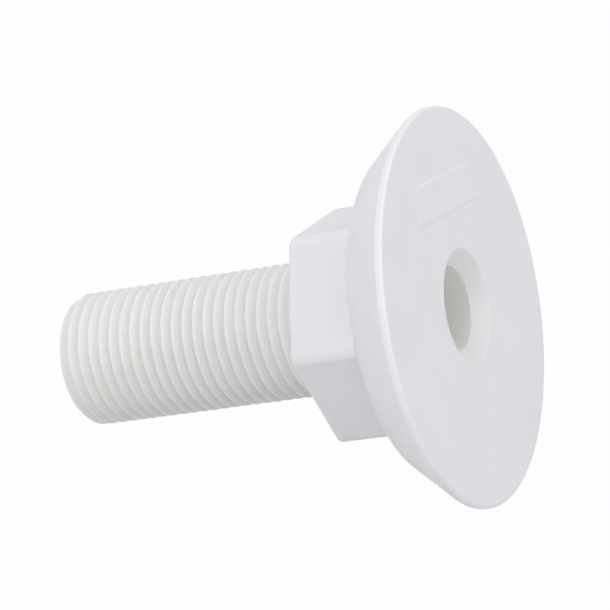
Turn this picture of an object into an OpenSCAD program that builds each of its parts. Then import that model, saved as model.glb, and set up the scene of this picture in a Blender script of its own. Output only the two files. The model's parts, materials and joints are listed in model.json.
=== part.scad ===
// Thru hull fitting: a countersunk flange, a threaded tube bonded into it, a sealing washer and a hex nut.
// The origin is the centre of the outer face. +X points out of that face, and the tube runs along -X.

/* [Flange] */
// Outside diameter of the flange
flange_d = 60; // [54:0.5:80]
// Length of the straight land round the rim
rim_land = 1.1; // [1:0.1:3]
// Radius of the rim's front edge
rim_round = 0.5; // [0.2:0.1:0.9]
// Depth from the outer face to the flat back
flange_depth = 8.75; // [7:0.05:14]
// Width of the cone, from the rim in to the flat back
cone_width = 6.35; // [3:0.05:8]
// Radius between the cone and the flat back
back_round = 2.5; // [0.5:0.1:4]
// Width of the hole's countersink, from the bore out to the face
countersink_width = 2.35; // [1:0.05:4]
// Depth of the countersink
countersink_depth = 2.3; // [1:0.1:4]
// Length of straight bore between the countersink and the tube
lip_length = 0.25; // [0.2:0.05:2]

/* [Pad] */
// Width of the low raised pad on the outer face
pad_width = 22.8; // [10:0.1:24]
// Height of the pad, across its width
pad_height = 6.1; // [3:0.1:7]
// How far the pad stands above the face
pad_rise = 0.2; // [0.1:0.05:0.6]
// Width of face between the countersink and the pad
pad_gap = 5.25; // [2:0.05:6]
// Angle of the pad round the axis, from the top
pad_turn = 4.2; // [-180:0.1:180]

/* [Tube] */
// Length of the whole fitting, from the outer face to the tube's free end
fitting_length = 64.5; // [50:0.5:110]
// Diameter of the water passage
bore_d = 12.7; // [9:0.1:14]
// Step from the thread's root down to the plain spigot in the flange
spigot_step = 0.1; // [0.06:0.01:1]
// Size of the chamfer at the mouth of the free end
mouth_chamfer = 0.5; // [0.2:0.1:1]

/* [Thread] */
// Diameter over the tube's thread crests
thread_d = 20.67; // [20.4:0.005:22]
// Travel for one turn
thread_pitch = 1.814; // [1.5:0.001:2.2]
// Depth of the thread, from crest to root
thread_depth = 1.162; // [0.8:0.001:1.2]
// Length over which the thread rises from the plain tube
thread_ramp = 1.2; // [0.6:0.1:2]
// Depth of the thread's chamfer at the free end
lead_in = 0.73; // [0.3:0.01:1]
// Length of that chamfer, along the tube
lead_in_length = 0.8; // [0.4:0.05:2]

/* [Washer] */
// How far the sealing washer's edge stops short of the nut's corners
washer_inset = 0.03; // [0:0.01:3]
// Thickness of the sealing washer
washer_t = 2; // [1:0.1:4]
// Radius of the washer's edges
washer_round = 0.4; // [0.1:0.1:0.45]

/* [Nut] */
// Width of the nut across its flats
nut_af = 32; // [28:0.5:38]
// Height of the nut
nut_h = 10.8; // [7:0.05:16]
// Radius of the nut's six corners
nut_corner_round = 2.2; // [0.3:0.1:4]
// Depth of the flare at each end of the nut's thread
nut_flare = 1.2; // [0.6:0.1:2]

/* [Fits] */
// Gap for the bond between the spigot and its socket
bond_gap = 0.05; // [0.02:0.01:0.1]
// Gap between faces that are pressed together
seat_gap = 0.05; // [0.02:0.01:0.1]
// Radial clearance between the two threads
thread_clearance = 0.2; // [0.15:0.01:0.3]
// Radial clearance of the washer over the thread
washer_clearance = 0.35; // [0.3:0.05:1]

/* [Hidden] */
$fn = 96;
thread_columns = 32;

flange_r = flange_d / 2;
back_r = flange_r - cone_width;
rim_edge = min(rim_round, rim_land / 2);
washer_edge = min(washer_round, washer_t / 3);
bore_r = bore_d / 2;

crest_r = thread_d / 2;
root_r = crest_r - thread_depth;
spigot_r = root_r - spigot_step;
socket_r = spigot_r + bond_gap;
lead_in_r = crest_r - lead_in;
nut_crest_r = root_r + thread_clearance;
nut_root_r = crest_r + thread_clearance;

countersink_r = bore_r + countersink_width;
pad_at = countersink_r + pad_gap + pad_height / 2;
nut_corner_at = (nut_af - 2 * nut_corner_round) / sqrt(3);
washer_r = nut_corner_at + nut_corner_round - washer_inset;

// Depths behind the outer face
socket_floor = countersink_depth + lip_length;
spigot_start = socket_floor + bond_gap;
thread_start = flange_depth + seat_gap;
washer_start = flange_depth + seat_gap;
nut_start = washer_start + washer_t + seat_gap;
nut_end = nut_start + nut_h;

// One pitch of the thread's outline: root, flank, crest, flank
outline_at = [0, 1 / 6, 1 / 2, 2 / 3];
outline_height = [0, 0, 1, 1];
outline_points = len(outline_at);

// A cut or a join that passes a face runs past it by this much
overrun = 1;

function limit(x) = max(0, min(1, x));

// Point at an angle and a radius, at a depth behind the outer face
function at(radius, angle, depth) = [radius * cos(angle), radius * sin(angle), depth];

// Lays a shape modelled along +Z, by depth behind the outer face, along -X
module along_axis() {
    rotate([0, -90, 0])
        children();
}

// Solid with a right-hand thread outside. The thread rises from the start radius over the ramp that begins
// at rise, and goes over to the end radius on the ramp that finishes at fall.
module threaded_solid(
    from, to, rise, rise_ramp, fall, fall_ramp, start_radius, end_radius, root_radius, crest_radius
) {
    n = thread_columns;
    step = outline_points;
    // The outline's phase is counted from the outer face, so that two threads mesh wherever they start
    first_turn = ceil(from / thread_pitch);
    turns = floor(to / thread_pitch) - first_turn - 1;
    rings = step * turns + 1;

    function depth(j, m) =
        thread_pitch * (first_turn + floor(m / step) + outline_at[m % step] + j / n);
    function start_share(z) = 1 - limit((z - rise) / rise_ramp);
    function end_share(z) = 1 - limit((fall - z) / fall_ramp);
    function outline_radius(m) =
        root_radius + (crest_radius - root_radius) * outline_height[m % step];
    function radius(j, m) =
        outline_radius(m)
        + (start_radius - outline_radius(m)) * start_share(depth(j, m))
        + (end_radius - outline_radius(m)) * end_share(depth(j, m));

    start_ring = [for (j = [0 : n - 1]) at(start_radius, 360 * j / n, from)];
    columns = [for (j = [0 : n - 1], m = [0 : rings - 1]) at(radius(j, m), 360 * j / n, depth(j, m))];
    end_ring = [for (j = [0 : n - 1]) at(end_radius, 360 * j / n, to)];

    function start(j) = j % n;
    function end(j) = n + n * rings + j % n;
    // The column after the last one is the first, one turn further on
    function grid(j, m) = j < n ? n + j * rings + m : n + m + step;

    start_cap = [[for (j = [0 : n - 1]) start(j)]];
    end_cap = [[for (j = [n - 1 : -1 : 0]) end(j)]];
    flanks = [
        for (j = [0 : n - 1], m = [0 : (j < n - 1 ? rings - 2 : rings - 2 - step)], half = [0, 1])
            half == 0
                ? [grid(j, m), grid(j, m + 1), grid(j + 1, m + 1)]
                : [grid(j, m), grid(j + 1, m + 1), grid(j + 1, m)]
    ];
    start_band = [
        for (j = [0 : n - 2], half = [0, 1])
            half == 0
                ? [start(j), grid(j, 0), grid(j + 1, 0)]
                : [start(j), grid(j + 1, 0), start(j + 1)]
    ];
    start_seam = [
        [start(n - 1), grid(0, 0), start(n)],
        for (m = [0 : step - 1]) [start(n - 1), grid(0, m + 1), grid(0, m)],
        [start(n - 1), grid(n - 1, 0), grid(0, step)]
    ];
    last = rings - 1;
    end_band = [
        for (j = [0 : n - 2], half = [0, 1])
            half == 0
                ? [grid(j, last), end(j), end(j + 1)]
                : [grid(j, last), end(j + 1), grid(j + 1, last)]
    ];
    end_seam = [
        [end(n), grid(n - 1, last), end(n - 1)],
        for (m = [last - step : last - 1]) [end(n), grid(n - 1, m), grid(n - 1, m + 1)],
        [end(n), grid(0, last), grid(n - 1, last - step)]
    ];

    polyhedron(
        points = concat(start_ring, columns, end_ring),
        faces = concat(start_cap, end_cap, flanks, start_band, start_seam, end_band, end_seam)
    );
}

// Half section of the flange, as radius and depth, with its two rounded edges
module flange_section() {
    cone_length = norm([flange_r - back_r, flange_depth - rim_land]);
    cone_along = [back_r - flange_r, flange_depth - rim_land] / cone_length;
    back_tangent = back_round * tan(acos(-cone_along[0]) / 2);
    back_corner = [back_r, flange_depth];
    round_end = back_corner - [back_tangent, 0];

    polygon([
        [countersink_r, 0],
        [flange_r - rim_edge, 0],
        [flange_r, rim_edge],
        [flange_r, rim_land],
        back_corner - back_tangent * cone_along,
        round_end,
        [socket_r, flange_depth],
        [socket_r, socket_floor],
        [bore_r, socket_floor],
        [bore_r, countersink_depth]
    ]);
    translate([flange_r - rim_edge, rim_edge])
        circle(r = rim_edge);
    translate(round_end - [0, back_round])
        circle(r = back_round);
}

// Hexagon with two flats square to X and rounded corners, whose centres are at a distance from the middle
module rounded_hexagon(across_flats, corner_at, corner_radius) {
    for (turn = [0 : 60 : 120])
        rotate(turn)
            square([across_flats, corner_at], center = true);
    for (turn = [30 : 60 : 330])
        rotate(turn)
            translate([corner_at, 0])
                circle(r = corner_radius);
}

// Half section of a flat ring with rounded edges
module ring_section(inner_radius, outer_radius, thickness, edge_radius) {
    inner_edge = inner_radius + edge_radius;
    outer_edge = outer_radius - edge_radius;
    near = edge_radius;
    far = thickness - edge_radius;

    polygon([
        [inner_edge, 0],
        [outer_edge, 0],
        [outer_radius, near],
        [outer_radius, far],
        [outer_edge, thickness],
        [inner_edge, thickness],
        [inner_radius, far],
        [inner_radius, near]
    ]);
    for (r = [inner_edge, outer_edge], z = [near, far])
        translate([r, z])
            circle(r = edge_radius);
}

// Low pad that stands on the outer face, square to a radius
module face_pad() {
    rotate(pad_turn)
        translate([pad_at, 0, -pad_rise])
            linear_extrude(pad_rise + overrun)
                square([pad_height, pad_width], center = true);
}

module skin_flange() {
    color([0.86, 0.87, 0.89])
        along_axis() {
            rotate_extrude()
                flange_section();
            face_pad();
        }
}

module threaded_tube() {
    color([0.88, 0.88, 0.86])
        along_axis()
            difference() {
                union() {
                    threaded_solid(
                        from = thread_start,
                        to = fitting_length,
                        rise = thread_start,
                        rise_ramp = thread_ramp,
                        fall = fitting_length,
                        fall_ramp = lead_in_length,
                        start_radius = root_r,
                        end_radius = lead_in_r,
                        root_radius = root_r,
                        crest_radius = crest_r
                    );
                    translate([0, 0, spigot_start])
                        cylinder(r = spigot_r, h = thread_start + overrun - spigot_start);
                }
                translate([0, 0, spigot_start - overrun])
                    cylinder(r = bore_r, h = fitting_length - spigot_start + 2 * overrun);
                translate([0, 0, fitting_length - mouth_chamfer])
                    cylinder(r1 = bore_r, r2 = bore_r + 2 * mouth_chamfer, h = 2 * mouth_chamfer);
            }
}

module sealing_washer() {
    color([0.8, 0.8, 0.79])
        along_axis()
            translate([0, 0, washer_start])
                rotate_extrude()
                    ring_section(crest_r + washer_clearance, washer_r, washer_t, washer_edge);
}

module hex_nut() {
    past = 2 * thread_pitch;
    color([0.86, 0.87, 0.89])
        along_axis()
            difference() {
                translate([0, 0, nut_start])
                    linear_extrude(nut_h)
                        rounded_hexagon(nut_af, nut_corner_at, nut_corner_round);
                threaded_solid(
                    from = nut_start - past,
                    to = nut_end + past,
                    rise = nut_start,
                    rise_ramp = nut_flare,
                    fall = nut_end,
                    fall_ramp = nut_flare,
                    start_radius = nut_root_r,
                    end_radius = nut_root_r,
                    root_radius = nut_crest_r,
                    crest_radius = nut_root_r
                );
            }
}

skin_flange();
threaded_tube();
sealing_washer();
hex_nut();
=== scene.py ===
import json
import math

import bmesh
import bpy
from bpy.props import FloatProperty, FloatVectorProperty, PointerProperty
from mathutils import Euler, Matrix, Vector


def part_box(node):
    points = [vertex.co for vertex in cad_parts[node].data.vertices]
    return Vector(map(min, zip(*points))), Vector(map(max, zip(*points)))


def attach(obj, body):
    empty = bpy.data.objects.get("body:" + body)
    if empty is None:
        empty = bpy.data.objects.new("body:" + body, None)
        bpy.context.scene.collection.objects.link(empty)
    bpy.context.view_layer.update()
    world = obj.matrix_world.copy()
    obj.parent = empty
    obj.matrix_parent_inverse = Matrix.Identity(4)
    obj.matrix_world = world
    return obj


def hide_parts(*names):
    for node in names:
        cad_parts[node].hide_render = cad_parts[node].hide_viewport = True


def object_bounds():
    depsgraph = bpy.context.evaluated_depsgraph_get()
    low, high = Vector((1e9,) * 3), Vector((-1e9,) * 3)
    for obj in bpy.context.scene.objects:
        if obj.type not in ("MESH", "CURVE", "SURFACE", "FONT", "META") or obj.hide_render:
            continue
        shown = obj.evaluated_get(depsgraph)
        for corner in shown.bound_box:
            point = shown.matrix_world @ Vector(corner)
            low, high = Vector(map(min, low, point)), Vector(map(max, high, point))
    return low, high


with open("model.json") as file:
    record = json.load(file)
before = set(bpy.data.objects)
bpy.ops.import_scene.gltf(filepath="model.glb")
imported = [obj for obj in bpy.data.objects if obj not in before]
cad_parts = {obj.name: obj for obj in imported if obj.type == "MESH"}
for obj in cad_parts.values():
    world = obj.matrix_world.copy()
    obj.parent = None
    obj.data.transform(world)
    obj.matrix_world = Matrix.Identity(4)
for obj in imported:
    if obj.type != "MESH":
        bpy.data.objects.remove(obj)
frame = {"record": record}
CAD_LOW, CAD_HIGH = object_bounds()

bl_info = {
    "name": "Thru Hull Fitting",
    "version": (1, 0, 0),
    "blender": (4, 5, 0),
    "location": "3D View > Sidebar > Hull Fitting",
    "description": "Builds a moulded thru hull fitting: flange, threaded tube, washer and hex nut",
    "category": "Object",
}

# Everything is in metres. Depths are counted behind the flange's outer face, along the tube.
MM = 0.001
AXIS = Vector((-1.0, 0.0, 0.0))
ALONG = Matrix.Rotation(math.radians(-90.0), 4, "Y")
WELD = 0.002 * MM
SHARP_ANGLE = math.radians(38.0)
FLAT_ANGLE = math.radians(2.0)
WEAR_AND_HIGHLIGHT = "edge_wear_and_highlight"
WHITE = (1.0, 1.0, 1.0, 1.0)

ROUND_STEPS = 192
CORNER_SEGMENTS = 6
THREAD_STEPS = 128
THREAD_SEGMENTS = 3
# One pitch of the thread, from the middle of a root to the next, as shares of the pitch and the height
THREAD_OUTLINE = ((1 / 12, 0), (1 / 6, 0), (1 / 2, 1), (2 / 3, 1), (1, 0), (13 / 12, 0))

FLANGE_LOW, FLANGE_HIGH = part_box("skin_flange")
TUBE_LOW, TUBE_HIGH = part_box("threaded_tube")
WASHER_LOW, WASHER_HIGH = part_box("sealing_washer")
NUT_LOW, NUT_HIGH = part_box("hex_nut")
MOUNTS = {mount["name"]: mount for mount in frame["record"]["mounts"]}
BORE_RADIUS = MOUNTS["water_bore"]["dims"]["r_mm"] * MM
PITCH = frame["record"]["behaviour"]["couplings"][0]["ratio"] * math.tau

CREST_RADIUS = TUBE_HIGH.z
THREAD_DEPTH = 1.162 * MM
ROOT_RADIUS = CREST_RADIUS - THREAD_DEPTH
SPIGOT_STEP = 0.1 * MM
SPIGOT_RADIUS = ROOT_RADIUS - SPIGOT_STEP
BOND_THICKNESS = 0.05 * MM
SOCKET_RADIUS = SPIGOT_RADIUS + BOND_THICKNESS
COUNTERSINK_DEPTH = 2.3 * MM
COUNTERSINK_LIP = 0.04 * MM
SOCKET_FLOOR = COUNTERSINK_DEPTH + COUNTERSINK_LIP
SPIGOT_GAP = 0.005 * MM
THREAD_SETBACK = 0.05 * MM
THREAD_START = THREAD_SETBACK - FLANGE_LOW.x
THREAD_CLEARANCE = 0.2 * MM
WASHER_CLEARANCE = 0.35 * MM

NUT_SIDES = 6
# Half of the turn at each corner of a hexagon
CORNER_HALF_TURN = math.radians(30.0)
# Least share of a face's normal that lies along the axis, for the nut's two ends
END_FACING = 0.99
# Radius past which the nut's rounds are worn and carry a painted highlight, as a share of its inner
# roots' radius
NUT_WEAR_AND_HIGHLIGHT_START = 1.05

# Patterns of the moulded surface: detail of their noise, and the limits between which they fade
FLOW_DETAIL = 4.0
FLOW_DISTORTION = 0.8
FLOW_LIMITS = (0.35, 0.68)
FLOW_RELIEF = 0.35
SPECK_EDGE = (0.05, 0.11)
SPECK_CHOICE = 0.93
SPECK_SHARE = 0.18
GLOSS_FINENESS = 3.0
GLOSS_DETAIL = 5.0
GLOSS_LIMITS = (0.3, 0.7)
GRAIN_DETAIL = 3.0
GRAIN_DEPTH = 0.12 * MM

# Patches of the polish with its painted highlight and of the painted shade in hollows: the limits of
# their noise, and their least and greatest share
PATCH_DETAIL = 4.0
POLISH_AND_HIGHLIGHT_SCALE = 220.0
POLISH_AND_HIGHLIGHT_LIMITS = (0.3, 0.6)
POLISH_AND_HIGHLIGHT_SHARES = (0.35, 1.0)
# How much lighter the rounded edges are painted, as a painted highlight
EDGE_HIGHLIGHT_GAIN = 1.03
POLISH_SMOOTHING = 0.12
SHADE_PATCH_SCALE = 260.0
SHADE_PATCH_LIMITS = (0.3, 0.7)
SHADE_PATCH_SHARES = (0.4, 1.0)
# Shares of the painted shade laid into the countersink and into the thread's grooves
HOLE_SHADE_SHARE = 1.0
GROOVE_SHADE_SHARE = 0.09

# How far light spreads in the tube's plastic, and how much of that each of red, green and blue gets
TUBE_SCATTER = 6.0 * MM
SCATTER_REACH = (1.0, 0.95, 0.85)

SENSOR_WIDTH = 36.0
# Azimuth and elevation of each lamp, in degrees
FRONT_LAMP = (0.0, 35.0)
RIGHT_LAMP = (75.0, 12.0)
BACK_LAMP = (120.0, 60.0)


def length(name, description, default):
    return FloatProperty(
        name=name,
        description=description,
        default=default,
        precision=5,
        subtype="DISTANCE",
        unit="LENGTH",
    )


def angle(name, description, degrees):
    return FloatProperty(
        name=name,
        description=description,
        default=math.radians(degrees),
        subtype="ANGLE",
        unit="ROTATION",
    )


def watts(name, description, default):
    return FloatProperty(name=name, description=description, default=default, min=0.0, unit="POWER")


def factor(name, description, default):
    return FloatProperty(
        name=name, description=description, default=default, min=0.0, max=1.0, subtype="FACTOR"
    )


def colour(name, description, default):
    return FloatVectorProperty(
        name=name, description=description, default=default, size=3, min=0.0, max=1.0, subtype="COLOR"
    )


class FlangeSettings(bpy.types.PropertyGroup):
    """Sizes and colours of the flange"""

    radius: length("Radius", "Outside radius of the flange", FLANGE_HIGH.z)
    depth: length("Depth", "From the outer face to the flat back", -FLANGE_LOW.x)
    rim_land: length("Rim land", "Straight land round the rim", 1.1 * MM)
    rim_round: length("Rim round", "Radius of the rim's front edge", 0.5 * MM)
    rim_back_round: length("Rim back round", "Radius where the rim meets the cone", 0.35 * MM)
    back_radius: length("Back radius", "Radius where the cone meets the flat back", 23.65 * MM)
    back_round: length("Back round", "Radius between the cone and the flat back", 2.5 * MM)
    countersink_radius: length("Countersink radius", "Radius of the countersink at the face", 8.7 * MM)
    countersink_depth: length("Countersink depth", "Depth of the countersink", COUNTERSINK_DEPTH)
    countersink_round: length("Countersink round", "Radius of the countersink's outer edge", 0.2 * MM)
    bore_radius: length("Bore radius", "Radius of the water passage", BORE_RADIUS)
    socket_radius: length("Socket radius", "Radius of the socket that holds the tube", SOCKET_RADIUS)
    socket_floor: length("Socket floor", "Depth of the socket's floor", SOCKET_FLOOR)
    tone: colour("Colour", "Cool white of the moulding", (0.82, 0.832, 0.86))
    shade: colour("Shade", "Slightly duller white of the flow marks", (0.80, 0.812, 0.843))
    # The hole colour is painted shade: a darker, warmer white laid into the countersink for the shade
    # and warm bounce light in that hollow.
    hole_shade_tone: colour("Hole shade colour", "Darker, warmer white painted in the countersink as its shade", (0.785, 0.795, 0.785))


class PadSettings(bpy.types.PropertyGroup):
    """Sizes of the low bare pad on the flange's face"""

    width: length("Width", "Width of the pad", 22.8 * MM)
    height: length("Height", "Height of the pad, across its width", 6.1 * MM)
    rise: length("Rise", "How far the pad stands above the face", FLANGE_HIGH.x)
    sunk: length("Sunk", "How far the pad reaches into the flange", 0.4 * MM)
    offset: length("Offset", "From the hole's centre to the pad's centre", 17.0 * MM)
    turn: angle("Turn", "Angle of the pad round the hole, from the top", 4.2)
    corner_round: length("Corner round", "Radius of the pad's four corners", 0.7 * MM)
    slope: length("Slope", "Width of the sloping sides, from the face to the top", 0.5 * MM)
    edge_round: length("Edge round", "Size of the rounding of the pad's upper edges", 0.15 * MM)


class TubeSettings(bpy.types.PropertyGroup):
    """Sizes and colours of the threaded tube"""

    length: length("Length", "From the outer face to the free end", -TUBE_LOW.x)
    crest_radius: length("Crest radius", "Radius over the thread's crests", CREST_RADIUS)
    thread_depth: length("Thread depth", "From crest to root", THREAD_DEPTH)
    thread_round: length("Thread round", "Radius of the thread's crests and roots", 0.25 * MM)
    pitch: length("Pitch", "Travel for one turn", PITCH)
    thread_start: length("Thread start", "Depth at which the thread starts", THREAD_START)
    thread_ramp: length("Thread ramp", "Length over which the thread rises", 1.2 * MM)
    lead_in: length("Lead in", "Depth of the chamfer at the free end", 0.73 * MM)
    lead_in_length: length("Lead in length", "Length of that chamfer, along the tube", 0.8 * MM)
    end_round: length("End round", "Size of the free end's outer edge", 0.18 * MM)
    mouth_chamfer: length("Mouth chamfer", "Size of the chamfer at the mouth of the free end", 0.5 * MM)
    bore_radius: length("Bore radius", "Radius of the water passage", BORE_RADIUS)
    spigot_radius: length("Spigot radius", "Radius of the plain end in the flange", SPIGOT_RADIUS)
    spigot_start: length("Spigot start", "Depth of the plain end", SOCKET_FLOOR + SPIGOT_GAP)
    tone: colour("Colour", "Warm white of the moulding", (0.865, 0.861, 0.845))
    shade: colour("Shade", "Slightly duller white of the flow marks", (0.85, 0.844, 0.827))
    # The groove colour is painted shade, laid darker toward the thread's roots where shade falls.
    groove_shade_tone: colour("Groove shade colour", "Darker tone painted in the grooves as their shade", (0.745, 0.74, 0.723))
    # The bore colour is painted light: the tube's plastic laid paler inside the bore for the light that
    # comes through its wall.
    bore_lit_tone: colour("Bore lit colour", "Paler tone painted in the bore as the light that comes through its wall", (0.965, 0.957, 0.938))
    bore_lit_shade: colour("Bore lit shade", "Duller tone of the bore's flow marks", (0.95, 0.942, 0.923))


class WasherSettings(bpy.types.PropertyGroup):
    """Sizes and colours of the sealing washer"""

    inner_radius: length("Inner radius", "Radius of the washer's hole", CREST_RADIUS + WASHER_CLEARANCE)
    radius: length("Radius", "Outside radius of the washer", WASHER_HIGH.z)
    start: length("Start", "Depth of the washer's front", -WASHER_HIGH.x)
    thickness: length("Thickness", "Thickness of the washer", WASHER_HIGH.x - WASHER_LOW.x)
    edge_round: length("Edge round", "Radius of the washer's edges", 0.4 * MM)
    tone: colour("Colour", "Pale tone of the rubber", (0.62, 0.62, 0.605))
    shade: colour("Shade", "Duller tone of the rubber", (0.56, 0.56, 0.547))


class NutSettings(bpy.types.PropertyGroup):
    """Sizes and colours of the hex nut"""

    across_flats: length("Across flats", "Width of the nut across its flats", NUT_HIGH.z - NUT_LOW.z)
    start: length("Start", "Depth of the nut's front", -NUT_HIGH.x)
    end: length("End", "Depth of the nut's back", -NUT_LOW.x)
    corner_round: length("Corner round", "Radius of the nut's six corners", 2.2 * MM)
    edge_round: length("Edge round", "Radius of the edges of the nut's two ends", 0.7 * MM)
    minor_radius: length("Minor radius", "Radius over the inner crests", ROOT_RADIUS + THREAD_CLEARANCE)
    major_radius: length("Major radius", "Radius of the inner roots", CREST_RADIUS + THREAD_CLEARANCE)
    flare: length("Flare", "Depth of the flare at each end of the thread", 1.2 * MM)
    tone: colour("Colour", "Cool white of the moulding", (0.829, 0.84, 0.865))
    shade: colour("Shade", "Slightly duller white of the flow marks", (0.809, 0.82, 0.845))


class StageSettings(bpy.types.PropertyGroup):
    """Camera, floor and lamps"""

    aim: FloatVectorProperty(
        name="Aim",
        description="Point that the camera looks at",
        default=(-0.02149, -0.00913, 0.00587),
        subtype="XYZ",
    )
    distance: length("Distance", "From the camera to the point it looks at", 0.4469)
    azimuth: angle("Azimuth", "Direction of the camera, round from the front", 25.94)
    elevation: angle("Elevation", "Height of the camera above the horizon", 11.79)
    roll: angle("Roll", "Lean of the camera", 13.98)
    lens: FloatProperty(
        name="Lens",
        description="Focal length in millimetres, on a 36 mm sensor",
        default=178.44,
        subtype="DISTANCE_CAMERA",
        unit="CAMERA",
    )
    floor_height: length("Floor height", "Height of the floor, at the rim's lowest point", CAD_LOW.z)
    floor_reach: length("Floor reach", "Half of the floor's width", 6.0)
    floor_tone: colour("Floor", "Pale tone of the floor", (0.74, 0.74, 0.74))
    floor_glow: factor("Floor glow", "Share of plain white in the floor as the camera sees it", 0.97)
    ambient: factor("Ambient", "Strength of the light from all round, as a share of white", 0.588)
    lamp_distance: length("Lamp distance", "From the fitting to each lamp", 1.0)
    lamp_size: length("Lamp size", "Diameter of each round soft lamp", 0.55)
    front_power: watts("Front power", "Watts of the lamp at the front", 2.92)
    right_power: watts("Right power", "Watts of the lamp on the face", 1.89)
    back_power: watts("Back power", "Watts of the high lamp at the back", 1.08)


class HullFittingSettings(bpy.types.PropertyGroup):
    """All the settings of the fitting and its stage"""

    flange: PointerProperty(type=FlangeSettings)
    pad: PointerProperty(type=PadSettings)
    tube: PointerProperty(type=TubeSettings)
    washer: PointerProperty(type=WasherSettings)
    nut: PointerProperty(type=NutSettings)
    stage: PointerProperty(type=StageSettings)


def start_mesh():
    """Starts a bmesh with a layer for the wear and the painted highlight along its edges."""
    bm = bmesh.new()
    bm.verts.layers.float.new(WEAR_AND_HIGHLIGHT)
    return bm


def radius_of(vert):
    return math.hypot(vert.co.y, vert.co.z)


def wear_and_highlight_outside(bm, radius):
    """Marks the vertices that lie further from the axis than a radius as worn and painted lighter as a
    highlight.
    """
    layer = bm.verts.layers.float[WEAR_AND_HIGHLIGHT]
    for vert in bm.verts:
        vert[layer] = float(radius_of(vert) > radius)


def wear_and_highlight_rounds(bm, flats, radius):
    """Marks the vertices past a radius that lie on none of the flat faces as worn and painted lighter as
    a highlight. Flats are normals.
    """
    layer = bm.verts.layers.float[WEAR_AND_HIGHLIGHT]
    for vert in bm.verts:
        angles = [face.normal.angle(flat) for face in vert.link_faces for flat in flats]
        vert[layer] = float(radius_of(vert) > radius and min(angles) > FLAT_ANGLE)


def verts_of(geometry):
    return [item for item in geometry if isinstance(item, bmesh.types.BMVert)]


def everything(bm):
    return bm.verts[:] + bm.edges[:] + bm.faces[:]


def draw_outline(bm, points, closed):
    """Draws an outline of depths and radii above the axis and returns its vertices."""
    verts = [bm.verts.new((-depth, 0.0, radius)) for depth, radius in points]
    following = verts[1:] + verts[:1] if closed else verts[1:]
    for pair in zip(verts, following):
        bm.edges.new(pair)
    return verts


def round_corner(bm, vert, radius, segments):
    """Turns a corner of an outline into an arc that is tangent to both of its edges."""
    first, second = [edge.other_vert(vert).co - vert.co for edge in vert.link_edges]
    bmesh.ops.bevel(
        bm,
        geom=[vert],
        offset=radius / math.tan(first.angle(second) / 2),
        offset_type="OFFSET",
        segments=segments,
        profile=0.5,
        affect="VERTICES",
        material=-1,
    )


def bevel_edges(bm, edges, offset, segments):
    bmesh.ops.bevel(
        bm,
        geom=edges,
        offset=offset,
        offset_type="OFFSET",
        segments=segments,
        profile=0.5,
        affect="EDGES",
        clamp_overlap=False,
        material=-1,
    )


def close_up(bm):
    """Merges doubled vertices and turns every face outwards."""
    bmesh.ops.remove_doubles(bm, verts=bm.verts[:], dist=WELD)
    bmesh.ops.recalc_face_normals(bm, faces=bm.faces[:])


def lathe(bm, outline, rounds):
    """Spins a closed outline round the axis. Rounds gives the radius for each corner that has one."""
    verts = draw_outline(bm, outline, closed=True)
    for index, radius in rounds.items():
        round_corner(bm, verts[index], radius, CORNER_SEGMENTS)
    bmesh.ops.spin(
        bm,
        geom=bm.verts[:] + bm.edges[:],
        cent=(0.0, 0.0, 0.0),
        axis=AXIS,
        angle=math.tau,
        steps=ROUND_STEPS,
        use_merge=True,
        use_duplicate=False,
    )
    close_up(bm)


def thread_shell(bm, pitch, root_radius, crest_radius, rounding, near, far):
    """Makes the open right-hand helix between two depths. Its phase is counted from the outer face."""
    first = math.floor(near / pitch) - 2
    turns = math.ceil(far / pitch) + 1 - first
    height = crest_radius - root_radius
    outline = [((first + along) * pitch, root_radius + height * up) for along, up in THREAD_OUTLINE]
    for vert in draw_outline(bm, outline, closed=False)[1:-1]:
        round_corner(bm, vert, rounding, THREAD_SEGMENTS)
    bmesh.ops.spin(
        bm,
        geom=bm.verts[:] + bm.edges[:],
        cent=(0.0, 0.0, 0.0),
        axis=AXIS,
        angle=math.tau,
        steps=THREAD_STEPS,
        dvec=AXIS * (pitch / THREAD_STEPS),
        use_merge=False,
        use_duplicate=False,
    )
    one_turn = everything(bm)
    for turn in range(1, turns):
        copied = bmesh.ops.duplicate(bm, geom=one_turn)["geom"]
        bmesh.ops.translate(bm, vec=AXIS * (pitch * turn), verts=verts_of(copied))
    bmesh.ops.remove_doubles(bm, verts=bm.verts[:], dist=WELD)
    for depth, outward in ((near, -AXIS), (far, AXIS)):
        bmesh.ops.bisect_plane(
            bm, geom=everything(bm), dist=WELD, plane_co=AXIS * depth, plane_no=outward, clear_outer=True
        )


def fade_thread(bm, near, near_ramp, near_radius, far, far_ramp, far_radius):
    """Brings the thread to a plain radius over a ramp at each of its ends."""
    for vert in bm.verts:
        depth = -vert.co.x
        radius = radius_of(vert)
        near_share = 1.0 - min(1.0, max(0.0, (depth - near) / near_ramp))
        far_share = 1.0 - min(1.0, max(0.0, (far - depth) / far_ramp))
        wanted = radius + (near_radius - radius) * near_share + (far_radius - radius) * far_share
        vert.co.y *= wanted / radius
        vert.co.z *= wanted / radius


def open_edges(bm, depth):
    """Edges of the open rim that lies at a depth."""
    return [
        edge
        for edge in bm.edges
        if edge.is_boundary and all(abs(vert.co.x + depth) < WELD for vert in edge.verts)
    ]


def extend_rim(bm, rim, depth, radius):
    """Extrudes a round rim to another depth and radius and returns the new rim."""
    made = bmesh.ops.extrude_edge_only(bm, edges=rim)["geom"]
    for vert in verts_of(made):
        scale = radius / radius_of(vert)
        vert.co = Vector((-depth, vert.co.y * scale, vert.co.z * scale))
    return [item for item in made if isinstance(item, bmesh.types.BMEdge) and item.is_boundary]


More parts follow.
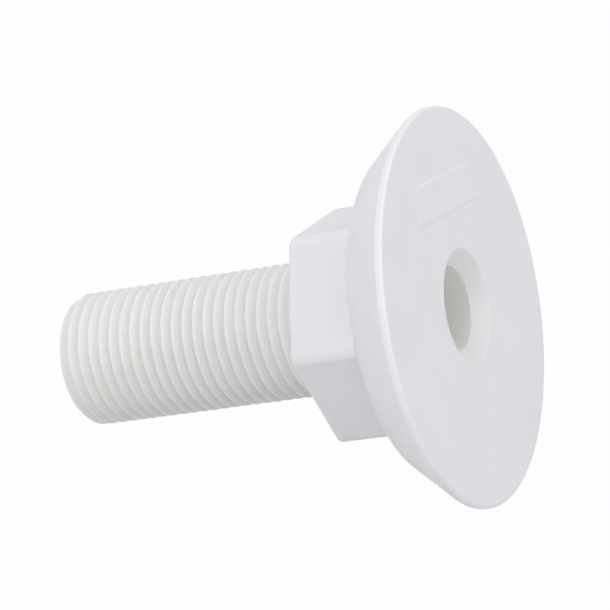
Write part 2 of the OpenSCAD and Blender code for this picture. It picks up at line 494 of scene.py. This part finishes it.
def add_piece(bm, name, *materials):
    """Turns a finished bmesh into an object at the origin, shaded smooth up to its sharp edges."""
    for face in bm.faces:
        face.smooth = True
    for edge in bm.edges:
        edge.smooth = edge.calc_face_angle(0.0) < SHARP_ANGLE
    mesh = bpy.data.meshes.new(name)
    bm.to_mesh(mesh)
    bm.free()
    for material in materials:
        mesh.materials.append(material)
    piece = bpy.data.objects.new(name, mesh)
    bpy.context.scene.collection.objects.link(piece)
    weighted = piece.modifiers.new("Even shading", "WEIGHTED_NORMAL")
    weighted.keep_sharp = True
    return piece


def add_node(tree, kind, inputs, **settings):
    """Adds a node. An input that is given a socket is linked to it, and any other gets the value."""
    node = tree.nodes.new(kind)
    for key, value in settings.items():
        setattr(node, key, value)
    for key, value in inputs.items():
        if isinstance(value, bpy.types.NodeSocket):
            tree.links.new(value, node.inputs[key])
        else:
            node.inputs[key].default_value = value
    return node


def add_math(tree, operation, *values):
    inputs = dict(enumerate(values))
    return add_node(tree, "ShaderNodeMath", inputs, operation=operation).outputs[0]


def add_range(tree, value, low, high, to_low=0.0, to_high=1.0):
    inputs = {"Value": value, "From Min": low, "From Max": high, "To Min": to_low, "To Max": to_high}
    return add_node(tree, "ShaderNodeMapRange", inputs).outputs["Result"]


def add_blend(tree, share, first, second):
    """Blends two colours. The sockets of this node are found by place, because their names repeat."""
    return add_node(tree, "ShaderNodeMix", {0: share, 6: first, 7: second}, data_type="RGBA").outputs[2]


def add_noise(tree, coordinates, scale, detail, distortion=0.0):
    inputs = {"Vector": coordinates, "Scale": scale, "Detail": detail, "Distortion": distortion}
    return add_node(tree, "ShaderNodeTexNoise", inputs).outputs["Fac"]


def solid(tone):
    return (*tone, 1.0)


def new_group(name, inputs, outputs):
    """Starts a shader node group and returns it with the nodes of its inputs and outputs."""
    group = bpy.data.node_groups.new(name, "ShaderNodeTree")
    for label, kind in inputs:
        group.interface.new_socket(name=label, in_out="INPUT", socket_type=kind)
    for label, kind in outputs:
        group.interface.new_socket(name=label, in_out="OUTPUT", socket_type=kind)
    return group, group.nodes.new("NodeGroupInput"), group.nodes.new("NodeGroupOutput")


def moulded_surface():
    """Flow marks, pin-head specks, uneven gloss and fine grain of a moulded surface."""
    name = "Moulded surface"
    if name in bpy.data.node_groups:
        return bpy.data.node_groups[name]
    group, given, result = new_group(
        name,
        [
            ("Colour", "NodeSocketColor"),
            ("Shade", "NodeSocketColor"),
            ("Speck Colour", "NodeSocketColor"),
            ("Flow Scale", "NodeSocketFloat"),
            ("Grain Scale", "NodeSocketFloat"),
            ("Speck Scale", "NodeSocketFloat"),
            ("Gloss Low", "NodeSocketFloat"),
            ("Gloss High", "NodeSocketFloat"),
        ],
        [("Colour", "NodeSocketColor"), ("Roughness", "NodeSocketFloat"), ("Height", "NodeSocketFloat")],
    )
    coordinates = group.nodes.new("ShaderNodeTexCoord").outputs["Object"]
    flow = add_noise(group, coordinates, given.outputs["Flow Scale"], FLOW_DETAIL, FLOW_DISTORTION)
    flow = add_range(group, flow, *FLOW_LIMITS)
    tone = add_blend(group, flow, given.outputs["Colour"], given.outputs["Shade"])

    cells = add_node(
        group, "ShaderNodeTexVoronoi", {"Vector": coordinates, "Scale": given.outputs["Speck Scale"]}
    )
    spot = add_range(group, cells.outputs["Distance"], *SPECK_EDGE, 1.0, 0.0)
    chosen = add_node(group, "ShaderNodeSeparateColor", {"Color": cells.outputs["Color"]}).outputs[0]
    chosen = add_math(group, "GREATER_THAN", chosen, SPECK_CHOICE)
    speck = add_math(group, "MULTIPLY", add_math(group, "MULTIPLY", spot, chosen), SPECK_SHARE)
    tone = add_blend(group, speck, tone, given.outputs["Speck Colour"])
    group.links.new(tone, result.inputs["Colour"])

    gloss_scale = add_math(group, "MULTIPLY", given.outputs["Flow Scale"], GLOSS_FINENESS)
    gloss = add_noise(group, coordinates, gloss_scale, GLOSS_DETAIL)
    limits = (given.outputs["Gloss Low"], given.outputs["Gloss High"])
    group.links.new(add_range(group, gloss, *GLOSS_LIMITS, *limits), result.inputs["Roughness"])

    grain = add_noise(group, coordinates, given.outputs["Grain Scale"], GRAIN_DETAIL)
    waves = add_math(group, "MULTIPLY", flow, FLOW_RELIEF)
    group.links.new(add_math(group, "ADD", grain, waves), result.inputs["Height"])
    return group


def edge_polish_and_highlight():
    """Mask of the rounded edges, where handling rubs a moulding smooth and where a highlight is painted,
    broken up in patches.
    """
    name = "Edge polish"
    if name in bpy.data.node_groups:
        return bpy.data.node_groups[name]
    group, given, result = new_group(
        name, [("Patch Scale", "NodeSocketFloat")], [("Mask", "NodeSocketFloat")]
    )
    edge = add_node(group, "ShaderNodeAttribute", {}, attribute_name=WEAR_AND_HIGHLIGHT).outputs["Fac"]
    coordinates = group.nodes.new("ShaderNodeTexCoord").outputs["Object"]
    patches = add_noise(group, coordinates, given.outputs["Patch Scale"], PATCH_DETAIL)
    patches = add_range(group, patches, *POLISH_AND_HIGHLIGHT_LIMITS, *POLISH_AND_HIGHLIGHT_SHARES)
    group.links.new(add_math(group, "MULTIPLY", edge, patches), result.inputs["Mask"])
    return group


def round_painted_shade():
    """Mask of painted shade that is full at an inner radius and gone at an outer one, broken up in
    patches.
    """
    name = "Round stain"
    if name in bpy.data.node_groups:
        return bpy.data.node_groups[name]
    group, given, result = new_group(
        name,
        [
            ("Inner Radius", "NodeSocketFloat"),
            ("Outer Radius", "NodeSocketFloat"),
            ("Patch Scale", "NodeSocketFloat"),
        ],
        [("Mask", "NodeSocketFloat")],
    )
    coordinates = group.nodes.new("ShaderNodeTexCoord").outputs["Object"]
    across = add_node(
        group, "ShaderNodeVectorMath", {0: coordinates, 1: (0.0, 1.0, 1.0)}, operation="MULTIPLY"
    ).outputs[0]
    radius = add_node(group, "ShaderNodeVectorMath", {0: across}, operation="LENGTH").outputs["Value"]
    depth = add_range(group, radius, given.outputs["Outer Radius"], given.outputs["Inner Radius"])
    patches = add_noise(group, coordinates, given.outputs["Patch Scale"], PATCH_DETAIL)
    patches = add_range(group, patches, *SHADE_PATCH_LIMITS, *SHADE_PATCH_SHARES)
    group.links.new(add_math(group, "MULTIPLY", depth, patches), result.inputs["Mask"])
    return group


def place_group(tree, group, values):
    node = tree.nodes.new("ShaderNodeGroup")
    node.node_tree = group
    for key, value in values.items():
        node.inputs[key].default_value = value
    return node


def moulded_material(name, tone, shade, values, bump, scatter=0.0, painted_shades=()):
    """Material of a moulding. Scatter is how far light spreads in it.

    Each painted shade is a colour, its share, and the radii at which it is full and gone.
    """
    if name in bpy.data.materials:
        return bpy.data.materials[name]
    material = bpy.data.materials.new(name)
    material.use_nodes = True
    tree = material.node_tree
    shader = tree.nodes["Principled BSDF"]
    if scatter:
        shader.inputs["Subsurface Weight"].default_value = 1.0
        shader.inputs["Subsurface Radius"].default_value = SCATTER_REACH
        shader.inputs["Subsurface Scale"].default_value = scatter

    tones = {"Colour": solid(tone), "Shade": solid(shade)}
    surface = place_group(tree, moulded_surface(), {**tones, **values})
    polish = place_group(tree, edge_polish_and_highlight(), {"Patch Scale": POLISH_AND_HIGHLIGHT_SCALE})
    # The rounded edges are painted lighter as a painted highlight; the lower roughness further down is
    # their real polish.
    highlight_tone = tuple(min(1.0, channel * EDGE_HIGHLIGHT_GAIN) for channel in tone)
    base = add_blend(tree, polish.outputs["Mask"], surface.outputs["Colour"], solid(highlight_tone))
    # Painted shade: each hollow is laid darker toward its inner radius.
    for shade_tone, share, inner, outer in painted_shades:
        place = {"Inner Radius": inner, "Outer Radius": outer, "Patch Scale": SHADE_PATCH_SCALE}
        mask = place_group(tree, round_painted_shade(), place).outputs["Mask"]
        base = add_blend(tree, add_math(tree, "MULTIPLY", mask, share), base, solid(shade_tone))
    tree.links.new(base, shader.inputs["Base Color"])

    smoother = add_math(tree, "MULTIPLY", polish.outputs["Mask"], POLISH_SMOOTHING)
    rough = add_math(tree, "SUBTRACT", surface.outputs["Roughness"], smoother)
    tree.links.new(rough, shader.inputs["Roughness"])
    inputs = {"Strength": bump, "Distance": GRAIN_DEPTH, "Height": surface.outputs["Height"]}
    relief = add_node(tree, "ShaderNodeBump", inputs)
    tree.links.new(relief.outputs["Normal"], shader.inputs["Normal"])
    return material


def flange_material(settings):
    """Cool satin white, with darker, warmer painted shade in the countersink."""
    shade_radius = settings.countersink_radius - 2 * settings.countersink_round
    return moulded_material(
        "flange satin white",
        settings.tone,
        settings.shade,
        {
            "Speck Colour": (0.55, 0.55, 0.54, 1.0),
            "Flow Scale": 95.0,
            "Grain Scale": 3200.0,
            "Speck Scale": 420.0,
            "Gloss Low": 0.40,
            "Gloss High": 0.55,
        },
        bump=0.16,
        painted_shades=[(settings.hole_shade_tone, HOLE_SHADE_SHARE, shade_radius, settings.countersink_radius)],
    )


def tube_material(settings):
    """Warm satin white that light sinks into, with painted shade darkening the grooves."""
    root_radius = settings.crest_radius - settings.thread_depth
    return moulded_material(
        "tube satin warm white",
        settings.tone,
        settings.shade,
        {
            "Speck Colour": (0.52, 0.50, 0.46, 1.0),
            "Flow Scale": 110.0,
            "Grain Scale": 3600.0,
            "Speck Scale": 520.0,
            "Gloss Low": 0.38,
            "Gloss High": 0.54,
        },
        bump=0.14,
        scatter=TUBE_SCATTER,
        painted_shades=[(settings.groove_shade_tone, GROOVE_SHADE_SHARE, root_radius, settings.crest_radius)],
    )


def bore_lit_material(settings):
    """Smoother white of the bore and its mouth, painted paler than the tube's white as painted light for
    the light that comes through the wall.
    """
    return moulded_material(
        "bore smooth painted light white",
        settings.bore_lit_tone,
        settings.bore_lit_shade,
        {
            "Speck Colour": (0.60, 0.58, 0.54, 1.0),
            "Flow Scale": 110.0,
            "Grain Scale": 3600.0,
            "Speck Scale": 520.0,
            "Gloss Low": 0.42,
            "Gloss High": 0.56,
        },
        bump=0.10,
    )


def washer_material(settings):
    """Pale, dull rubber."""
    return moulded_material(
        "washer pale rubber",
        settings.tone,
        settings.shade,
        {
            "Speck Colour": (0.40, 0.40, 0.39, 1.0),
            "Flow Scale": 160.0,
            "Grain Scale": 2400.0,
            "Speck Scale": 700.0,
            "Gloss Low": 0.62,
            "Gloss High": 0.80,
        },
        bump=0.35,
    )


def nut_material(settings):
    """Cool satin white, close to the flange's."""
    return moulded_material(
        "nut satin white",
        settings.tone,
        settings.shade,
        {
            "Speck Colour": (0.55, 0.55, 0.54, 1.0),
            "Flow Scale": 120.0,
            "Grain Scale": 3200.0,
            "Speck Scale": 420.0,
            "Gloss Low": 0.40,
            "Gloss High": 0.55,
        },
        bump=0.16,
    )


class HULLFITTING_OT_flange(bpy.types.Operator):
    """Builds the round flange with its conical back and countersunk hole"""

    bl_idname = "hull_fitting.flange"
    bl_label = "Build Flange"

    def execute(self, context):
        size = context.scene.hull_fitting.flange
        outline = [
            (0.0, size.countersink_radius),
            (0.0, size.radius),
            (size.rim_land, size.radius),
            (size.depth, size.back_radius),
            (size.depth, size.socket_radius),
            (size.socket_floor, size.socket_radius),
            (size.socket_floor, size.bore_radius),
            (size.countersink_depth, size.bore_radius),
        ]
        rounds = {
            0: size.countersink_round,
            1: size.rim_round,
            2: size.rim_back_round,
            3: size.back_round,
        }
        bm = start_mesh()
        lathe(bm, outline, rounds)
        wear_and_highlight_outside(bm, size.radius - size.rim_round / 2)
        piece = add_piece(bm, "flange", flange_material(size))
        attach(piece, "fitting")
        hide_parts("skin_flange")
        return {"FINISHED"}


class HULLFITTING_OT_pad(bpy.types.Operator):
    """Builds the low bare pad on the flange's face"""

    bl_idname = "hull_fitting.pad"
    bl_label = "Build Face Pad"

    def execute(self, context):
        size = context.scene.hull_fitting.pad
        thickness = size.rise + size.sunk
        spread = size.slope * size.sunk / size.rise
        foot = Vector((size.height + 2 * spread, size.width + 2 * spread, thickness))
        top = Vector((size.height - 2 * size.slope, size.width - 2 * size.slope, thickness))
        bm = start_mesh()
        bmesh.ops.create_cube(bm, size=1.0, matrix=Matrix.Diagonal((*foot, 1.0)))
        upright = [edge for edge in bm.edges if edge.verts[0].co.z * edge.verts[1].co.z < 0.0]
        bevel_edges(bm, upright, size.corner_round, CORNER_SEGMENTS)
        upper = [vert for vert in bm.verts if vert.co.z < 0.0]
        narrowing = Vector((top.x / foot.x, top.y / foot.y, 1.0))
        bmesh.ops.scale(bm, vec=narrowing, verts=upper)
        rim = [edge for edge in bm.edges if all(vert in upper for vert in edge.verts)]
        bevel_edges(bm, rim, size.edge_round, CORNER_SEGMENTS)
        place = (
            ALONG
            @ Matrix.Rotation(size.turn, 4, "Z")
            @ Matrix.Translation((size.offset, 0.0, thickness / 2 - size.rise))
        )
        bmesh.ops.transform(bm, matrix=place, verts=bm.verts[:])
        close_up(bm)
        piece = add_piece(bm, "face_pad", flange_material(context.scene.hull_fitting.flange))
        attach(piece, "fitting")
        return {"FINISHED"}


class HULLFITTING_OT_tube(bpy.types.Operator):
    """Builds the threaded tube with its bore and the plain spigot in the flange"""

    bl_idname = "hull_fitting.tube"
    bl_label = "Build Tube"

    def execute(self, context):
        size = context.scene.hull_fitting.tube
        root_radius = size.crest_radius - size.thread_depth
        end_radius = size.crest_radius - size.lead_in
        near, far = size.thread_start, size.length - size.end_round
        bm = start_mesh()
        thread_shell(bm, size.pitch, root_radius, size.crest_radius, size.thread_round, near, far)
        fade_thread(bm, near, size.thread_ramp, root_radius, far, size.lead_in_length, end_radius)
        bmesh.ops.remove_doubles(bm, verts=bm.verts[:], dist=WELD)
        start = open_edges(bm, near)
        rim = open_edges(bm, far)
        rim = extend_rim(bm, rim, size.length, end_radius - size.end_round)
        rim = extend_rim(bm, rim, size.length, size.bore_radius + size.mouth_chamfer)
        rim = extend_rim(bm, rim, size.length - size.mouth_chamfer, size.bore_radius)
        rim = extend_rim(bm, rim, size.spigot_start, size.bore_radius)
        rim = extend_rim(bm, rim, size.spigot_start, size.spigot_radius)
        rim = extend_rim(bm, rim, near, size.spigot_radius)
        bmesh.ops.bridge_loops(bm, edges=rim + start)
        close_up(bm)
        wear_and_highlight_outside(bm, size.crest_radius - size.thread_round / 3)
        mouth_radius = size.bore_radius + size.mouth_chamfer + WELD
        # The bore and the chamfer at its mouth take the second material, whose paler white is painted
        # light
        for face in bm.faces:
            face.material_index = int(all(radius_of(vert) < mouth_radius for vert in face.verts))
        piece = add_piece(bm, "tube", tube_material(size), bore_lit_material(size))
        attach(piece, "fitting")
        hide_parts("threaded_tube")
        return {"FINISHED"}


class HULLFITTING_OT_washer(bpy.types.Operator):
    """Builds the flat sealing washer with its rounded edges"""

    bl_idname = "hull_fitting.washer"
    bl_label = "Build Washer"

    def execute(self, context):
        size = context.scene.hull_fitting.washer
        far = size.start + size.thickness
        outline = [
            (size.start, size.inner_radius),
            (size.start, size.radius),
            (far, size.radius),
            (far, size.inner_radius),
        ]
        bm = start_mesh()
        lathe(bm, outline, dict.fromkeys(range(len(outline)), size.edge_round))
        piece = add_piece(bm, "washer", washer_material(size))
        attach(piece, "washer")
        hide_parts("sealing_washer")
        return {"FINISHED"}


def nut_ends(bm):
    """The faces of the nut's two ends, which have more than four corners and look along the axis."""
    return [face for face in bm.faces if len(face.verts) > 4 and abs(face.normal.x) > END_FACING]


class HULLFITTING_OT_nut(bpy.types.Operator):
    """Builds the hexagon nut with its inner thread"""

    bl_idname = "hull_fitting.nut"
    bl_label = "Build Nut"

    def execute(self, context):
        size = context.scene.hull_fitting.nut
        tube = context.scene.hull_fitting.tube
        bm = start_mesh()
        radii = (size.minor_radius, size.major_radius)
        thread_shell(bm, tube.pitch, *radii, tube.thread_round, size.start, size.end)
        flare = (size.flare, size.major_radius)
        fade_thread(bm, size.start, *flare, size.end, *flare)
        bmesh.ops.remove_doubles(bm, verts=bm.verts[:], dist=WELD)
        mouths = [open_edges(bm, size.start), open_edges(bm, size.end)]

        corner_radius = size.across_flats / math.sqrt(3.0)
        front = bmesh.ops.create_circle(
            bm,
            cap_ends=True,
            segments=NUT_SIDES,
            radius=corner_radius,
            matrix=ALONG @ Matrix.Translation((0.0, 0.0, size.start)),
        )["verts"]
        front_face = next(face for face in front[0].link_faces if len(face.verts) == NUT_SIDES)
        raised = bmesh.ops.extrude_face_region(bm, geom=[front_face])["geom"]
        back = verts_of(raised)
        bmesh.ops.translate(bm, vec=AXIS * (size.end - size.start), verts=back)
        block = set(front) | set(back)
        flats = [face.normal.copy() for face in bm.faces if block.issuperset(face.verts)]
        corners = [
            edge
            for edge in bm.edges
            if block.issuperset(edge.verts) and abs(edge.verts[0].co.x - edge.verts[1].co.x) > WELD
        ]
        bevel_edges(bm, corners, size.corner_round * math.tan(CORNER_HALF_TURN), CORNER_SEGMENTS)
        rims = [edge for face in nut_ends(bm) for edge in face.edges]
        bevel_edges(bm, rims, size.edge_round, CORNER_SEGMENTS)
        ends = nut_ends(bm)
        outlines = [list(face.edges) for face in sorted(ends, key=lambda face: -face.verts[0].co.x)]
        bmesh.ops.delete(bm, geom=ends, context="FACES_ONLY")
        for mouth, outline in zip(mouths, outlines):
            bmesh.ops.triangle_fill(bm, use_beauty=True, use_dissolve=False, edges=mouth + outline)
        close_up(bm)
        wear_and_highlight_rounds(bm, flats, radius=size.major_radius * NUT_WEAR_AND_HIGHLIGHT_START)
        piece = add_piece(bm, "nut", nut_material(size))
        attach(piece, "nut")
        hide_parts("hex_nut")
        return {"FINISHED"}


def seen_directly(tree):
    """Value that is 1 for rays from the camera and for those that mirror or pass on what it sees."""
    path = tree.nodes.new("ShaderNodeLightPath")
    seen = add_math(tree, "MAXIMUM", path.outputs["Is Camera Ray"], path.outputs["Is Glossy Ray"])
    return add_math(tree, "MAXIMUM", seen, path.outputs["Is Transmission Ray"])


def add_lamp(stage, name, azimuth, elevation, power):
    """Adds a round soft lamp that shines on the fitting. Its azimuth is counted as the camera's is."""
    turn = Euler((math.pi / 2 - math.radians(elevation), 0.0, math.radians(azimuth)))
    data = bpy.data.lights.new(name, "AREA")
    data.shape = "DISK"
    data.size = stage.lamp_size
    data.energy = power
    lamp = bpy.data.objects.new(name, data)
    lamp.location = Vector(stage.aim) + turn.to_matrix() @ Vector((0.0, 0.0, stage.lamp_distance))
    lamp.rotation_euler = turn
    bpy.context.scene.collection.objects.link(lamp)


class HULLFITTING_OT_stage(bpy.types.Operator):
    """Sets the camera, the pale floor and the soft lamps"""

    bl_idname = "hull_fitting.stage"
    bl_label = "Set Stage"

    def execute(self, context):
        stage = context.scene.hull_fitting.stage
        self.set_camera(context.scene, stage)
        self.lay_floor(context.scene, stage)
        self.light_world(context.scene, stage)
        add_lamp(stage, "front lamp", *FRONT_LAMP, stage.front_power)
        add_lamp(stage, "right lamp", *RIGHT_LAMP, stage.right_power)
        add_lamp(stage, "back lamp", *BACK_LAMP, stage.back_power)
        context.scene.view_settings.view_transform = "Standard"
        return {"FINISHED"}

    def set_camera(self, scene, stage):
        turn = Euler((math.pi / 2 - stage.elevation, 0.0, stage.azimuth)).to_matrix()
        turn = turn @ Matrix.Rotation(-stage.roll, 3, "Z")
        data = bpy.data.cameras.new("camera")
        data.sensor_width = SENSOR_WIDTH
        data.lens = stage.lens
        camera = bpy.data.objects.new("camera", data)
        camera.location = Vector(stage.aim) + turn @ Vector((0.0, 0.0, stage.distance))
        camera.rotation_euler = turn.to_euler()
        scene.collection.objects.link(camera)
        scene.camera = camera

    def lay_floor(self, scene, stage):
        bm = bmesh.new()
        lift = Matrix.Translation((0.0, 0.0, stage.floor_height))
        bmesh.ops.create_grid(bm, x_segments=1, y_segments=1, size=stage.floor_reach, matrix=lift)
        mesh = bpy.data.meshes.new("floor")
        bm.to_mesh(mesh)
        bm.free()
        material = bpy.data.materials.new("floor pale")
        material.use_nodes = True
        tree = material.node_tree
        tree.nodes.clear()
        cloth = add_node(tree, "ShaderNodeBsdfDiffuse", {"Color": solid(stage.floor_tone)})
        white = add_node(tree, "ShaderNodeEmission", {"Color": WHITE, "Strength": 1.0})
        share = add_math(tree, "MULTIPLY", seen_directly(tree), stage.floor_glow)
        shaders = {0: share, 1: cloth.outputs[0], 2: white.outputs[0]}
        mixed = add_node(tree, "ShaderNodeMixShader", shaders)
        add_node(tree, "ShaderNodeOutputMaterial", {"Surface": mixed.outputs[0]})
        mesh.materials.append(material)
        floor = bpy.data.objects.new("floor", mesh)
        scene.collection.objects.link(floor)

    def light_world(self, scene, stage):
        world = bpy.data.worlds.new("soft white")
        world.use_nodes = True
        tree = world.node_tree
        background = tree.nodes["Background"]
        background.inputs["Color"].default_value = WHITE
        strength = add_range(tree, seen_directly(tree), 0.0, 1.0, stage.ambient, 1.0)
        tree.links.new(strength, background.inputs["Strength"])
        scene.world = world


class HULLFITTING_PT_panel(bpy.types.Panel):
    """Lists the pieces of the fitting and their settings"""

    bl_label = "Thru Hull Fitting"
    bl_idname = "HULLFITTING_PT_panel"
    bl_space_type = "VIEW_3D"
    bl_region_type = "UI"
    bl_category = "Hull Fitting"

    def draw(self, context):
        settings = context.scene.hull_fitting
        for operator, group in (
            (HULLFITTING_OT_flange, settings.flange),
            (HULLFITTING_OT_pad, settings.pad),
            (HULLFITTING_OT_tube, settings.tube),
            (HULLFITTING_OT_washer, settings.washer),
            (HULLFITTING_OT_nut, settings.nut),
            (HULLFITTING_OT_stage, settings.stage),
        ):
            box = self.layout.box()
            box.operator(operator.bl_idname)
            for name in group.__annotations__:
                box.prop(group, name)


CLASSES = (
    FlangeSettings,
    PadSettings,
    TubeSettings,
    WasherSettings,
    NutSettings,
    StageSettings,
    HullFittingSettings,
    HULLFITTING_OT_flange,
    HULLFITTING_OT_pad,
    HULLFITTING_OT_tube,
    HULLFITTING_OT_washer,
    HULLFITTING_OT_nut,
    HULLFITTING_OT_stage,
    HULLFITTING_PT_panel,
)


def register():
    for cls in CLASSES:
        bpy.utils.register_class(cls)
    bpy.types.Scene.hull_fitting = PointerProperty(type=HullFittingSettings)


def unregister():
    del bpy.types.Scene.hull_fitting
    for cls in reversed(CLASSES):
        bpy.utils.unregister_class(cls)


def main():
    register()
    bpy.ops.hull_fitting.flange()
    bpy.ops.hull_fitting.pad()
    bpy.ops.hull_fitting.tube()
    bpy.ops.hull_fitting.washer()
    bpy.ops.hull_fitting.nut()
    bpy.ops.hull_fitting.stage()


if __name__ == "__main__":
    main()
